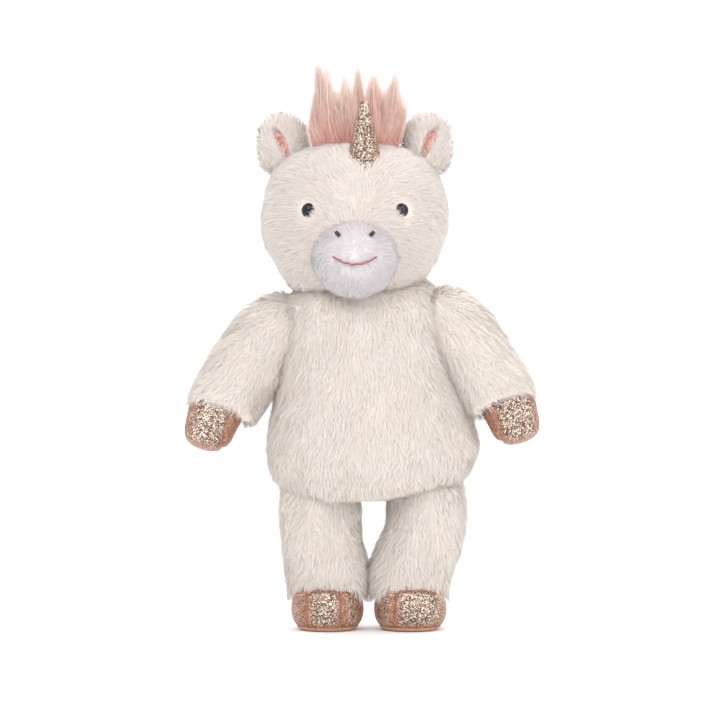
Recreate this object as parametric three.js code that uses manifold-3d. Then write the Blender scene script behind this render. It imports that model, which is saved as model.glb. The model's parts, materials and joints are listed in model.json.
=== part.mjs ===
// A standing plush unicorn: fur skins round fibre stuffing, glitter hooves and horn, a long-pile mane.
// Millimetres, +Z up. The toy faces -Y. The left and right of a name are as seen from in front: left is -X.
// Origin: on the floor, midway between the hooves of the arms and midway from front to back.
// The toy stands with a slight lean, so its head is a little towards -X of its feet.

import * as THREE from 'three';
import { mergeVertices } from 'three/addons/utils/BufferGeometryUtils.js';
import Module from 'manifold-3d';

const wasm = await Module();
wasm.setup();

// ---------- driving dimensions ----------

const touchGap = 0.3; // between pieces that are sewn or pressed together
const swingGap = 1; // round a piece that swings
const seamRoom = 2.5; // between a ball and its socket, where the sewn seam lies
const seamThick = 1.1;
const seamClear = 0.4; // between the ball and the seam
const furThick = 6.5; // backing and pile of the body fur
const faceFurThick = 5; // the same, on the head
const glitterThick = 1.5; // glitter cloth with its lining
const lean = THREE.MathUtils.degToRad(3.4);

const torsoFoot = new THREE.Vector3(6.3, 0, 80); // lowest point of the torso
const torsoDepth = 0.68; // depth over width
const torsoOutline = [
  [0, 0], [30, 1.5], [50, 6], [60.5, 17], [63.8, 31], [61, 50],
  [55, 72], [47, 100], [38, 120], [24, 133], [0, 138],
];

const headFoot = new THREE.Vector3(-4.2, -3, 198); // lowest point of the head
const headDepth = 0.83;
const headOutline = [
  [0, 0], [22, 1.2], [36, 6.5], [45.6, 17], [52.6, 29], [56.6, 42],
  [57.4, 53], [55.6, 66], [50.5, 79], [41, 89], [25, 95.5], [0, 97.5],
];

const neckAt = new THREE.Vector3(-1, 0, 202);
const neckBall = 25;

const shoulderAt = new THREE.Vector3(46, 0, 183);
const shoulderBall = 19;
const armpitSlope = 0.26; // how far the side of the chest widens for each mm away from the shoulder
const armLift = THREE.MathUtils.degToRad(40);
const rightShoulderRise = 4; // the +X shoulder stands a little higher than the other

const hipHeight = 92;
const legBack = THREE.MathUtils.degToRad(20);
const legForward = THREE.MathUtils.degToRad(60);
const footHeight = 26;
const soleThick = 2.4;

const shoulderPivot = (out) =>
  new THREE.Vector3(out * shoulderAt.x, shoulderAt.y, shoulderAt.z + (out > 0 ? rightShoulderRise : 0));

// ---------- making and combining solids ----------

function toSolid(geometry) {
  const bare = geometry.clone();
  bare.deleteAttribute('normal');
  bare.deleteAttribute('uv');
  const merged = mergeVertices(bare, 1e-4);
  const corners = merged.index.array;
  const kept = [];
  for (let i = 0; i < corners.length; i += 3) {
    const [a, b, c] = corners.slice(i, i + 3);
    if (a !== b && b !== c && c !== a) kept.push(a, b, c);
  }
  return new wasm.Manifold(
    new wasm.Mesh({
      numProp: 3,
      vertProperties: merged.attributes.position.array,
      triVerts: new Uint32Array(kept),
    }),
  );
}

function toGeometry(solid) {
  const mesh = solid.getMesh();
  const geometry = new THREE.BufferGeometry();
  geometry.setAttribute('position', new THREE.BufferAttribute(new Float32Array(mesh.vertProperties), 3));
  geometry.setIndex(new THREE.BufferAttribute(new Uint32Array(mesh.triVerts), 1));
  geometry.computeVertexNormals();
  return geometry;
}

const join = (...solids) => solids.reduce((all, next) => all.add(next));
const cut = (solid, ...tools) => tools.reduce((left, tool) => left.subtract(tool), solid);

// A cut can leave slivers behind: the piece itself is the largest of what is left.
function largest(solid) {
  return solid.decompose().reduce((best, piece) => (piece.volume() > best.volume() ? piece : best));
}

// ---------- basic forms ----------

// A box between two corners.
function block(low, high) {
  const size = new THREE.Vector3().subVectors(high, low);
  const middle = new THREE.Vector3().addVectors(low, high).multiplyScalar(0.5);
  return toSolid(new THREE.BoxGeometry(size.x, size.y, size.z).translate(middle.x, middle.y, middle.z));
}

function ellipsoid(centre, half, grow = 0, around = 14, steps = 9) {
  const form = new THREE.SphereGeometry(1, around, steps);
  form.scale(half.x + grow, half.y + grow, half.z + grow);
  return toSolid(form.translate(centre.x, centre.y, centre.z));
}

const ball = (centre, radius) => ellipsoid(centre, new THREE.Vector3(radius, radius, radius), 0, 20, 12);

// An outline of [radius, height] pairs, moved outwards by about `grow` on every side.
function grown(outline, grow) {
  const widest = Math.max(...outline.map(([radius]) => radius));
  const bottom = outline[0][1];
  const halfHeight = (outline.at(-1)[1] - bottom) / 2;
  const middle = bottom + halfHeight;
  return outline.map(([radius, height]) => [
    radius * (1 + grow / widest),
    middle + (height - middle) * (1 + grow / halfHeight),
  ]);
}

// A smooth form of revolution about Z through an outline that starts and ends on the axis.
function turned(outline, depth, around = 20, steps = 11) {
  const curve = new THREE.SplineCurve(outline.map(([radius, height]) => new THREE.Vector2(radius, height)));
  const form = new THREE.LatheGeometry(curve.getPoints(steps), around);
  return form.rotateX(Math.PI / 2).scale(1, depth, 1);
}

// A sewn ring that lies on a ball, round its Y axis, from one height to another.
function seamRing(radius, low, high) {
  const inner = radius + seamClear;
  const outer = inner + seamThick;
  const across = (size, height) => new THREE.Vector2(Math.sqrt(size ** 2 - height ** 2), height);
  const middle = (low + high) / 2;
  const profile = [
    across(inner, low), across(outer, low), across(outer, middle), across(outer, high),
    across(inner, high), across(inner, middle), across(inner, low),
  ];
  return new THREE.LatheGeometry(profile, 20);
}

// A soft tube along a spine, closed by a rounded end. `wide` and `deep` are half sizes at even steps.
function limb({ spine, wide, deep, startCap, endCap, grow = 0, sides = 14, rings = 9 }) {
  const points = spine.map((point) => point.clone());
  const stretch = (end, next) => end.addScaledVector(end.clone().sub(next).normalize(), grow);
  stretch(points[0], points[1]);
  stretch(points.at(-1), points.at(-2));
  const line = new THREE.CatmullRomCurve3(points);
  const length = line.getLength();
  const sizeAt = (values, u) => {
    const place = u * (values.length - 1);
    const step = Math.min(Math.floor(place), values.length - 2);
    return THREE.MathUtils.lerp(values[step], values[step + 1], place - step) + grow;
  };
  const rounding = (distance, cap) => {
    const share = Math.min(distance / Math.max(cap + grow, 1), 1);
    return Math.sqrt(1 - (1 - share) ** 2);
  };

  const positions = [];
  const indices = [];
  for (let i = 0; i <= rings; i += 1) {
    const u = (1 - Math.cos((Math.PI * i) / rings)) / 2;
    const centre = line.getPointAt(u);
    const along = line.getTangentAt(u);
    const across = new THREE.Vector3(0, 1, 0).cross(along).normalize();
    const inward = along.clone().cross(across);
    const round = rounding(u * length, startCap) * rounding((1 - u) * length, endCap);
    for (let k = 0; k < sides; k += 1) {
      const angle = (2 * Math.PI * k) / sides;
      const point = centre.clone();
      point.addScaledVector(across, Math.cos(angle) * sizeAt(wide, u) * round);
      point.addScaledVector(inward, Math.sin(angle) * sizeAt(deep, u) * round);
      positions.push(point.x, point.y, point.z);
      if (i < rings) {
        const a = i * sides + k;
        const b = i * sides + ((k + 1) % sides);
        indices.push(a, b, a + sides, b, b + sides, a + sides);
      }
    }
  }
  const form = new THREE.BufferGeometry();
  form.setAttribute('position', new THREE.Float32BufferAttribute(positions, 3));
  form.setIndex(indices);
  return form;
}

// The space that a swinging strip sweeps about an X axis through `pivot`, as a slab across X.
// `back` and `forward` are its limits from straight down; `up` turns the whole space over.
function swingSpace({ pivot, half, reach, back, forward, low, high, up = false }) {
  const outline = new THREE.Shape();
  const ahead = -Math.PI / 2 - forward;
  const behind = -Math.PI / 2 + back;
  // The far end of the strip at an angle: `edge` is 1 for its rear edge and -1 for its front edge.
  const strip = (angle, edge) => [
    Math.cos(angle) * reach - Math.sin(angle) * half * edge,
    Math.sin(angle) * reach + Math.cos(angle) * half * edge,
  ];
  outline.moveTo(0, -reach);
  outline.lineTo(...strip(behind, 1));
  outline.absarc(0, 0, half, behind + Math.PI / 2, ahead - Math.PI / 2 + 2 * Math.PI, false);
  outline.lineTo(...strip(ahead, -1));
  outline.closePath();
  const options = { depth: high - low, bevelEnabled: false, curveSegments: 5 };
  const slab = new THREE.ExtrudeGeometry(outline, options);
  slab.rotateX(Math.PI / 2).rotateZ(Math.PI / 2);
  if (up) slab.rotateX(Math.PI);
  return slab.translate(low, pivot.y, pivot.z);
}

// The point on the front of a turned form at a height and a distance from its middle plane.
function frontOf(outline, depth, foot, x, height) {
  const above = outline.findIndex(([, z]) => z >= height);
  const [[r0, z0], [r1, z1]] = [outline[above - 1], outline[above]];
  const radius = THREE.MathUtils.mapLinear(height, z0, z1, r0, r1);
  return new THREE.Vector3(foot.x + x, foot.y - depth * Math.sqrt(radius ** 2 - x ** 2), foot.z + height);
}

// ---------- the collection of pieces ----------

const colours = {
  cream: [0xf2e8e0, 0.95],
  muzzle: [0xece6e8, 0.9],
  pink: [0xe1aaa5, 0.9],
  coral: [0xdea193, 0.9],
  glitter: [0xbe9682, 0.35],
  copper: [0xaa6e55, 0.4],
  fibre: [0xfafafa, 1],
  plastic: [0x15151c, 0.08],
  washer: [0xdcdcd6, 0.5],
  thread: [0xa05f5a, 0.7],
  darkThread: [0x322d32, 0.7],
  creamThread: [0xe6dcd2, 0.8],
};

const unicorn = new THREE.Group();

function addPiece(name, solid, colour) {
  const [color, roughness] = colours[colour];
  const material = new THREE.MeshStandardMaterial({ color, roughness, metalness: 0 });
  const mesh = new THREE.Mesh(toGeometry(largest(solid)), material);
  mesh.name = name;
  unicorn.add(mesh);
}

// Each side of the toy: which way is outwards along X.
const sides = [
  { side: 'left', out: -1 },
  { side: 'right', out: 1 },
];

// ---------- neck ----------

const neckSocket = ball(neckAt, neckBall + seamRoom);

function makeNeck() {
  const ring = seamRing(neckBall, -5, 3).rotateX(Math.PI / 2);
  addPiece('neck_seam', toSolid(ring.translate(neckAt.x, neckAt.y, neckAt.z)), 'creamThread');
}

// The dish in the top of the torso that the head turns and nods in, round the neck.
function headSpace(grow) {
  const open = 260; // well above the torso
  const dish = [[0, 193], [36, 193], [43, 197.5], [53, 206], [62, 222]];
  const floor = dish.map(([radius, height]) => new THREE.Vector2(radius, height + grow));
  const profile = [...floor, new THREE.Vector2(62, open), new THREE.Vector2(0, open)];
  return toSolid(new THREE.LatheGeometry(profile, 24).rotateX(Math.PI / 2).translate(neckAt.x, neckAt.y, 0));
}

// ---------- torso ----------

// The cone round a shoulder's X axis that keeps the chest and a swinging arm apart.
function armSide(out, offset, liftBack = 0) {
  const reach = 100;
  const outerFace = 80;
  const profile = [[0, 0], [reach, armpitSlope * reach], [reach, outerFace], [0, outerFace]];
  const cone = new THREE.LatheGeometry(profile.map(([radius, x]) => new THREE.Vector2(radius, x)), 16);
  cone.rotateZ((-out * Math.PI) / 2).translate(out * offset, 0, 0).rotateY(liftBack);
  const pivot = shoulderPivot(out);
  return toSolid(cone.translate(pivot.x, pivot.y, pivot.z));
}

const legs = {
  left: { hip: new THREE.Vector3(-25.5, 0, hipHeight), foot: new THREE.Vector3(-20.9, -5, 0), turn: 0 },
  right: { hip: new THREE.Vector3(38.5, 0, hipHeight), foot: new THREE.Vector3(29.2, -5, 0), turn: 0.14 },
};
const legDeep = 24;

function hipSpace({ hip }, out) {
  const outer = 25.5; // room beside the hip, away from the other leg
  const inner = 28.2; // and towards it
  const reach = 90;
  const [low, high] = out < 0 ? [hip.x - outer, hip.x + inner] : [hip.x - inner, hip.x + outer];
  const half = legDeep + swingGap;
  return toSolid(swingSpace({ pivot: hip, half, reach, back: legBack, forward: legForward, low, high }));
}

const tailAt = new THREE.Vector3(4.5, 38, 122);
const tailRoom = 13.5; // radius of the hollow that the tail's root swings in

function makeTorso() {
  const body = (grow) => {
    const form = turned(grown(torsoOutline, grow), torsoDepth).rotateY(-lean);
    return toSolid(form.translate(torsoFoot.x, torsoFoot.y, torsoFoot.z));
  };
  const neck = (grow) => ball(neckAt, neckBall + grow);
  const room = [
    ...sides.map(({ out }) => armSide(out, -swingGap / 2)),
    ...sides.map(({ out }) => ball(shoulderPivot(out), shoulderBall + seamRoom)),
    ...sides.map(({ side, out }) => hipSpace(legs[side], out)),
    ball(tailAt, tailRoom),
  ];
  const shape = (grow) => join(cut(body(grow), headSpace(grow)), neck(grow));
  addPiece('torso_skin', cut(shape(0), shape(-furThick), ...room), 'cream');
  addPiece('torso_stuffing', cut(shape(-furThick - touchGap), ...room), 'fibre');
}

// ---------- arms ----------

function armForm(out, wide, deep, grow) {
  const spine = [[40, 0, 188], [59, -2, 173.5], [76, -6, 153], [86, -12, 134], [90.5, -19, 107.5]];
  const form = limb({
    spine: spine.map(([x, y, z]) => new THREE.Vector3(x, y, z)),
    wide,
    deep,
    startCap: 10,
    endCap: 15,
    grow,
  });
  form.translate(-shoulderAt.x, -shoulderAt.y, -shoulderAt.z);
  if (out < 0) mirrorX(form);
  const pivot = shoulderPivot(out);
  return form.translate(pivot.x, pivot.y, pivot.z);
}

// Mirrors a form in the plane X = 0 and keeps its faces pointing outwards.
function mirrorX(form) {
  form.scale(-1, 1, 1);
  const corners = form.index.array;
  for (let i = 0; i < corners.length; i += 3) [corners[i], corners[i + 1]] = [corners[i + 1], corners[i]];
}

// A half space that holds everything past a cut, as a large block turned to face along the limb.
function beyond(point, direction) {
  const big = 300;
  const form = new THREE.BoxGeometry(big, big, big).translate(0, 0, big / 2);
  return toSolid(aimed(form, point, direction));
}

function makeArm({ side, out }) {
  const pivot = shoulderPivot(out);
  const rise = pivot.z - shoulderAt.z;
  const outer = [19, 22.5, 23, 22.5, 20];
  const outerDeep = [18, 20, 20, 19, 18];
  const thin = (values) => values.map((value) => value - furThick);
  const chestAt = (gap, turn) => cut(farSide(out, turn), armSide(out, gap, turn));
  const chest = (gap) => join(chestAt(gap, 0), chestAt(gap, out * armLift));
  const whole = (grow) => {
    const form = toSolid(armForm(out, outer, outerDeep, grow));
    return join(cut(form, chest(swingGap / 2 - grow)), ball(pivot, shoulderBall + grow));
  };
  const hoofWide = thin(outer).map((value) => value + 0.6);
  const hoofDeep = thin(outerDeep).map((value) => value + 1);
  const hoof = (grow) => toSolid(armForm(out, hoofWide, hoofDeep, grow));

  const wrist = new THREE.Vector3(out * 85, -12, 134 + rise);
  const wristWay = new THREE.Vector3(out * 0.3, -0.3, -0.9);
  const past = (distance) => beyond(wrist.clone().addScaledVector(wristWay, distance), wristWay);
  const sleeve = cut(whole(0), whole(-furThick), past(0));
  addPiece(`${side}_arm_sleeve`, sleeve, 'cream');

  const seamWay = new THREE.Vector3(-out, 0.25, 0.15);
  const seam = (distance) => beyond(new THREE.Vector3(out * (80 - distance), -16, 122 + rise), seamWay);
  const cover = cut(hoof(0), hoof(-glitterThick)).intersect(past(touchGap));
  addPiece(`${side}_hoof_front`, cut(cover, seam(0)), 'glitter');
  addPiece(`${side}_hoof_side`, cover.intersect(seam(touchGap)), 'copper');

  const loose = 3 * touchGap;
  const sleeveFilling = cut(whole(-furThick - loose), past(-touchGap));
  const hoofFilling = hoof(-glitterThick - loose).intersect(past(-2 * touchGap));
  addPiece(`${side}_arm_stuffing`, cut(join(sleeveFilling, hoofFilling), sleeve), 'fibre');

  const ring = seamRing(shoulderBall, -8, -2);
  ring.rotateZ((-out * Math.PI) / 2);
  addPiece(`${side}_shoulder_seam`, toSolid(ring.translate(pivot.x, pivot.y, pivot.z)), 'creamThread');
}

// Everything on the chest's side of a shoulder, turned with the arm's lift.
function farSide(out, turn = 0) {
  const big = 200;
  const beyondBall = 30; // how far past the shoulder's middle it still reaches
  const form = new THREE.BoxGeometry(big, big, big);
  form.translate(out * (beyondBall - big / 2), 0, 0).rotateY(turn);
  const pivot = shoulderPivot(out);
  return toSolid(form.translate(pivot.x, pivot.y, pivot.z));
}

// ---------- legs ----------

function makeLeg({ side }) {
  const { hip, foot, turn } = legs[side];
  const ankle = new THREE.Vector3(THREE.MathUtils.lerp(foot.x, hip.x, 0.2), 0, 10);
  const top = new THREE.Vector3(hip.x, hip.y, hip.z + legDeep);
  const knee = new THREE.Vector3().lerpVectors(ankle, hip, 0.5);
  const whole = (grow) =>
    toSolid(
      limb({
        spine: [top, new THREE.Vector3().lerpVectors(hip, top, 0.4), knee, ankle],
        wide: [24, 25.4, 26, 25.4],
        deep: [legDeep, legDeep, legDeep, legDeep],
        startCap: legDeep,
        endCap: 6,
        grow,
      }),
    );
  const below = (height) => beyond(new THREE.Vector3(0, 0, height), new THREE.Vector3(0, 0, -1));
  addPiece(`${side}_leg_sleeve`, cut(whole(0), whole(-furThick), below(footHeight)), 'cream');

  // The shoe's form starts below the floor, so the sole is cut flat where it rests.
  const footOutline = [
    [0, -2], [15, -1.4], [19.3, 1.5], [21.3, 9],
    [21.5, 16], [20, 22], [15, 25.5], [0, footHeight],
  ];
  const footDepth = 1.17;
  const shoe = (grow) => {
    const form = turned(grown(footOutline, grow), footDepth, 16, 8).rotateZ(turn);
    return toSolid(form.translate(foot.x, foot.y, foot.z));
  };
  // The core of the filling runs from the hip down into the shoe.
  const coreHalf = [15, 15];
  const coreEnd = 4;
  const coreSize = { wide: coreHalf, deep: coreHalf, startCap: coreEnd, endCap: coreEnd };
  const core = (grow) => toSolid(limb({ spine: [hip, knee, ankle], ...coreSize, grow }));
  const sole = cut(shoe(0).intersect(below(soleThick)), below(0));
  const above = beyond(new THREE.Vector3(0, 0, footHeight - touchGap), new THREE.Vector3(0, 0, 1));
  const upper = cut(shoe(0), shoe(-glitterThick), below(soleThick + touchGap), core(0), above);
  const heelSeam = foot.y + 7;
  const heel = (distance) => beyond(new THREE.Vector3(0, heelSeam + distance, 0), new THREE.Vector3(0, 1, 0));
  addPiece(`${side}_foot_front`, cut(upper, heel(0)), 'glitter');
  addPiece(`${side}_foot_back`, upper.intersect(heel(touchGap)), 'copper');
  addPiece(`${side}_foot_sole`, sole, 'copper');

  const legFilling = cut(whole(-furThick - touchGap), below(footHeight + 2));
  const shoeFilling = cut(shoe(-glitterThick - touchGap), below(soleThick + touchGap));
  addPiece(`${side}_leg_stuffing`, join(legFilling, core(-touchGap), shoeFilling), 'fibre');
}

// ---------- head ----------

const headForm = (grow) =>
  toSolid(turned(grown(headOutline, grow), headDepth).translate(headFoot.x, headFoot.y, headFoot.z));

const muzzleAt = new THREE.Vector3(headFoot.x, headFoot.y - 38, 223.5);
const muzzleHalf = new THREE.Vector3(24.8, 18.5, 23.5);
const muzzle = (grow) => ellipsoid(muzzleAt, muzzleHalf, grow);

// The point on the front of the muzzle, offset outwards, at a place across and up from its centre.
function onMuzzle(x, z, offset) {
  const half = muzzleHalf.clone().addScalar(offset);
  const y = -half.y * Math.sqrt(1 - (x / half.x) ** 2 - (z / half.z) ** 2);
  return new THREE.Vector3(x, y, z).add(muzzleAt);
}

// Turns a form made along +Z to stand on a point and face along a direction.
function aimed(form, point, direction) {
  const turn = new THREE.Quaternion();
  turn.setFromUnitVectors(new THREE.Vector3(0, 0, 1), direction.clone().normalize());
  return form.applyQuaternion(turn).translate(point.x, point.y, point.z);
}

// A form of revolution about +Z with straight edges, through [radius, height] pairs.
function straightTurned(pairs, sidesRound = 10) {
  const profile = pairs.map(([radius, height]) => new THREE.Vector2(radius, height));
  return new THREE.LatheGeometry(profile, sidesRound).rotateX(Math.PI / 2);
}

const eye = { across: 28.7, height: 54.6, radius: 3.9, sink: 3.2, shank: 1.6, washer: 5, washerThick: 1.2 };

// The eye's seat: a point sunk into the fur, and the direction that the eye looks in.
function eyeSeat(out) {
  const surface = frontOf(headOutline, headDepth, headFoot, out * eye.across, eye.height);
  const middle = new THREE.Vector3(headFoot.x, headFoot.y, surface.z);
  const away = surface.clone().sub(middle);
  const direction = new THREE.Vector3(away.x, away.y / headDepth ** 2, 0).normalize();
  return { point: surface.addScaledVector(direction, -eye.sink), direction };
}

function makeEye({ side, out }) {
  const { point, direction } = eyeSeat(out);
  const dome = new THREE.Path().absellipse(0, 0, eye.radius, eye.radius * 0.85, 0, Math.PI / 2).getPoints(4);
  const shankEnd = -(faceFurThick - eye.sink) - eye.washerThick - 3;
  const profile = [[0, shankEnd], [eye.shank, shankEnd], [eye.shank, 0], ...dome.map(({ x, y }) => [x, y])];
  addPiece(`${side}_eye`, toSolid(aimed(straightTurned(profile), point, direction)), 'plastic');

  const face = -(faceFurThick - eye.sink) - touchGap;
  const back = face - eye.washerThick;
  const hole = eye.shank + touchGap;
  const washer = [[hole, back], [eye.washer, back], [eye.washer, face], [hole, face], [hole, back]];
  addPiece(`${side}_eye_washer`, toSolid(aimed(straightTurned(washer), point, direction)), 'washer');
}

// The hole that an eye, its shank and its washer take up in the skin and the stuffing.
function eyeSpace(out) {
  const { point, direction } = eyeSeat(out);
  const socket = eye.radius + 0.5;
  const hole = eye.shank + touchGap;
  const face = -(faceFurThick - eye.sink);
  const pocket = eye.washer + touchGap;
  const end = face - eye.washerThick - 3 - 2 * touchGap;
  const pocketBack = face - eye.washerThick - 2 * touchGap;
  const open = 12; // well outside the fur
  const profile = [
    [0, end], [hole, end], [hole, pocketBack], [pocket, pocketBack],
    [pocket, face], [hole, face], [hole, -touchGap], [socket, -touchGap], [socket, open], [0, open],
  ];
  return toSolid(aimed(straightTurned(profile), point, direction));
}

const earAt = { across: 44.5, y: 2, z: 282 };
const earDeep = 8;
const earTip = 312; // height that the ear is made up to
const earFold = THREE.MathUtils.degToRad(20);
const earTilt = THREE.MathUtils.degToRad(8);

function earForm(out, grow) {
  const x = headFoot.x + out * earAt.across;
  const wide = 14;
  const tip = new THREE.Vector3(x + out * Math.sin(earTilt) * (earTip - earAt.z), earAt.y, earTip);
  const root = new THREE.Vector3(x, earAt.y, earAt.z - earDeep);
  return limb({
    spine: [root, new THREE.Vector3().lerpVectors(root, tip, 0.5), tip],
    wide: [wide * 0.85, wide, wide, wide * 0.8],
    deep: [earDeep, earDeep, earDeep * 0.9, earDeep * 0.7],
    startCap: earDeep,
    endCap: 12,
    grow,
  });
}

function earSpace(out) {
  const x = headFoot.x + out * earAt.across;
  const beside = 15.5;
  const outerRoom = out > 0 ? 2 : 0; // the ear's tip leans outwards
  return toSolid(
    swingSpace({
      pivot: new THREE.Vector3(x, earAt.y, earAt.z),
      half: earDeep + swingGap,
      reach: 40,
      back: earFold,
      forward: earFold,
      low: x - beside,
      high: x + beside + outerRoom,
      up: true,
    }),
  );
}

function makeEar({ side, out }) {
  const x = headFoot.x + out * earAt.across;
  const bowlAt = new THREE.Vector3(x + out * 1.5, earAt.y - 9, 296);
  const bowlHalf = new THREE.Vector3(7, 9, 12);
  const bowl = ellipsoid(bowlAt, bowlHalf);
  const lining = ellipsoid(bowlAt, bowlHalf, -touchGap);
  const hollow = ellipsoid(bowlAt.clone().setY(bowlAt.y - 1.6), bowlHalf, -2 * touchGap);
  addPiece(`${side}_ear_outer`, cut(toSolid(earForm(out, 0)), bowl), 'cream');
  addPiece(`${side}_ear_lining`, cut(lining, hollow).intersect(toSolid(earForm(out, -touchGap))), 'pink');
}

// ---------- horn ----------

const hornAt = new THREE.Vector3(1.2, -29, 281);
const hornWay = new THREE.Vector3(0, -0.26, 1);
const hornOutline = [[10, -6], [9.4, 2], [8.2, 8], [6.2, 18], [4, 29], [2.6, 34.5], [1.2, 36.8], [0, 37.2]];

// The horn made smaller by `inset` on every side, or larger where that is negative.
function hornForm(inset) {
  const narrowed = (radius) => (radius > 0 ? Math.max(radius - inset, 0) : 0);
  const outline = hornOutline.map(([radius, height]) => [narrowed(radius), height - inset]);
  const closed = [[0, outline[0][1]], ...outline];
  return toSolid(aimed(straightTurned(closed, 14), hornAt, hornWay));
}

function makeHorn() {
  const fur = headForm(touchGap);
  addPiece('horn_cover', cut(hornForm(0), hornForm(glitterThick), fur), 'glitter');
  addPiece('horn_stuffing', cut(hornForm(glitterThick + touchGap), fur), 'fibre');
}

// ---------- mane ----------

// The strip of backing over the top and back of the head that the mane is rooted in.
function maneStrip(grow) {
  const half = 4 + grow;
  const low = new THREE.Vector3(headFoot.x - half, headFoot.y - 16 - grow, 236 - grow);
  const high = new THREE.Vector3(headFoot.x + half, 80, 330);
  return block(low, high);
}

function makeMane() {
  const band = cut(headForm(-touchGap), headForm(-faceFurThick + touchGap)).intersect(maneStrip(0));
  addPiece('mane_backing', band, 'pink');

  // Each tuft: root and tip as [x, y, z], and its half width.
  const tufts = [
    { root: [-20, -15, 284], tip: [-21, -12, 342], half: 11 },
    { root: [-9, -14, 286], tip: [-9, -10, 333], half: 10 },
    { root: [2, -13, 286], tip: [-1, -8, 336], half: 9.5 },
    { root: [10, -14, 284], tip: [15, -10, 344.5], half: 10.5 },
    { root: [-4, 6, 286], tip: [-6, 12, 327], half: 13 },
    { root: [-4, 22, 280], tip: [-4, 38, 306], half: 12 },
    { root: [-4, 30, 268], tip: [-4, 54, 282], half: 11 },
    { root: [-4, 34, 256], tip: [-4, 57, 250], half: 10 },
  ];
  const tuft = ({ root, tip, half }) => {
    const start = new THREE.Vector3(...root);
    const end = new THREE.Vector3(...tip);
    const spine = [start, new THREE.Vector3().lerpVectors(start, end, 0.5), end];
    const wide = [half, half, half * 0.75, half * 0.5, 3];
    const deep = [11, 11, 9, 6, 2];
    return toSolid(limb({ spine, wide, deep, startCap: 8, endCap: 6, sides: 10, rings: 7 }));
  };
  const pile = cut(join(...tufts.map(tuft)), headForm(touchGap), ...sides.map(({ out }) => earSpace(out)));
  addPiece('mane_pile', cut(pile, hornForm(-touchGap)), 'coral');
}

// ---------- face ----------

function makeFace() {
  addPiece('muzzle_patch', cut(muzzle(0), muzzle(-2), headForm(-faceFurThick)), 'muzzle');

  const nostril = { across: 10, up: 15, half: new THREE.Vector3(1.9, 0.9, 0.9), slant: 0.75 };
  for (const { side, out } of sides) {
    const at = onMuzzle(out * nostril.across, nostril.up, 0.4);
    const form = new THREE.SphereGeometry(1, 10, 6).scale(nostril.half.x, nostril.half.y, nostril.half.z);
    form.rotateY(-out * nostril.slant).translate(at.x, at.y, at.z);
    addPiece(`${side}_nostril_stitch`, cut(toSolid(form), muzzle(touchGap)), 'darkThread');
  }

  const smile = { half: 13.2, corner: 1.9, lowest: -3, thick: 0.6 };
  const points = [];
  for (let i = -4; i <= 4; i += 1) {
    const across = i / 4;
    const up = THREE.MathUtils.lerp(smile.lowest, smile.corner, across ** 2);
    points.push(onMuzzle(across * smile.half, up, touchGap + smile.thick));
  }
  const section = new THREE.Shape().absarc(0, 0, smile.thick, 0, 2 * Math.PI);
  const path = new THREE.CatmullRomCurve3(points);
  const options = { extrudePath: path, steps: 14, bevelEnabled: false, curveSegments: 3 };
  const tube = new THREE.ExtrudeGeometry(section, options);
  addPiece('mouth_stitch', toSolid(tube), 'thread');
}

function makeHead() {
  const room = [neckSocket, ...sides.flatMap(({ out }) => [eyeSpace(out), earSpace(out)])];
  const skin = cut(headForm(0), headForm(-faceFurThick), muzzle(touchGap), maneStrip(touchGap), ...room);
  addPiece('head_skin', skin, 'cream');
  const filling = join(headForm(-faceFurThick - touchGap), muzzle(-2 - touchGap));
  addPiece('head_stuffing', cut(filling, ...room), 'fibre');
}

// ---------- tail ----------

function makeTail() {
  const route = [[0, -9, 1], [0, 8, 0], [0, 15, -14], [-1, 17, -38]];
  const spine = route.map(([x, y, z]) => tailAt.clone().add(new THREE.Vector3(x, y, z)));
  const form = limb({
    spine,
    wide: [6.5, 7.5, 9.5, 8, 3],
    deep: [6.5, 7, 6.5, 5, 2],
    startCap: 7,
    endCap: 8,
    sides: 12,
    rings: 9,
  });
  addPiece('tail_pile', toSolid(form), 'coral');
}

makeNeck();
makeTorso();
sides.forEach(makeArm);
sides.forEach(makeLeg);
makeHead();
makeFace();
sides.forEach(makeEye);
sides.forEach(makeEar);
makeHorn();
makeMane();
makeTail();

export default unicorn;
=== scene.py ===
import json
import math

import bpy
import numpy as np
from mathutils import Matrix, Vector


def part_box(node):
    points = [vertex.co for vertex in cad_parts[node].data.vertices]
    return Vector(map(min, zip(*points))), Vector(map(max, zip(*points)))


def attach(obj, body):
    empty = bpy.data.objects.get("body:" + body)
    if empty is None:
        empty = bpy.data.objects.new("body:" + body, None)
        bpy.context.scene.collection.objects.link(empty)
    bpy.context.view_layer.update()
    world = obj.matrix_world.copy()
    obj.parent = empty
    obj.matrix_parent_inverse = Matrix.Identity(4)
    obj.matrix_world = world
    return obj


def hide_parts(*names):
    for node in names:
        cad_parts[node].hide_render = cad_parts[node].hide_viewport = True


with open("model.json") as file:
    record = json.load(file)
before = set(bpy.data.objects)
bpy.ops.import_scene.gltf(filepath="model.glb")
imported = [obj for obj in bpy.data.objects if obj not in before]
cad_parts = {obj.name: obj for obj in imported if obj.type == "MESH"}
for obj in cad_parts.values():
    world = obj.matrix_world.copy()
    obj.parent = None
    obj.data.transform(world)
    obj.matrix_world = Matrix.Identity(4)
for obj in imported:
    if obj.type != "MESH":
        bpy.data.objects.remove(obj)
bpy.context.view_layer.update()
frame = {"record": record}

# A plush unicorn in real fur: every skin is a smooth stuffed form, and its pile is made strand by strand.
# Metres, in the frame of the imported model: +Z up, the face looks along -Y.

MM = 0.001

# ---------- places, from the frame ----------


def box(node):
    low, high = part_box(node)
    return np.array(low), np.array(high)


def joint_at(name):
    for joint in frame["record"]["behaviour"]["joints"]:
        if joint["name"] == name:
            return np.array(joint["pos_m"], float)
    raise KeyError(name)


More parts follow.
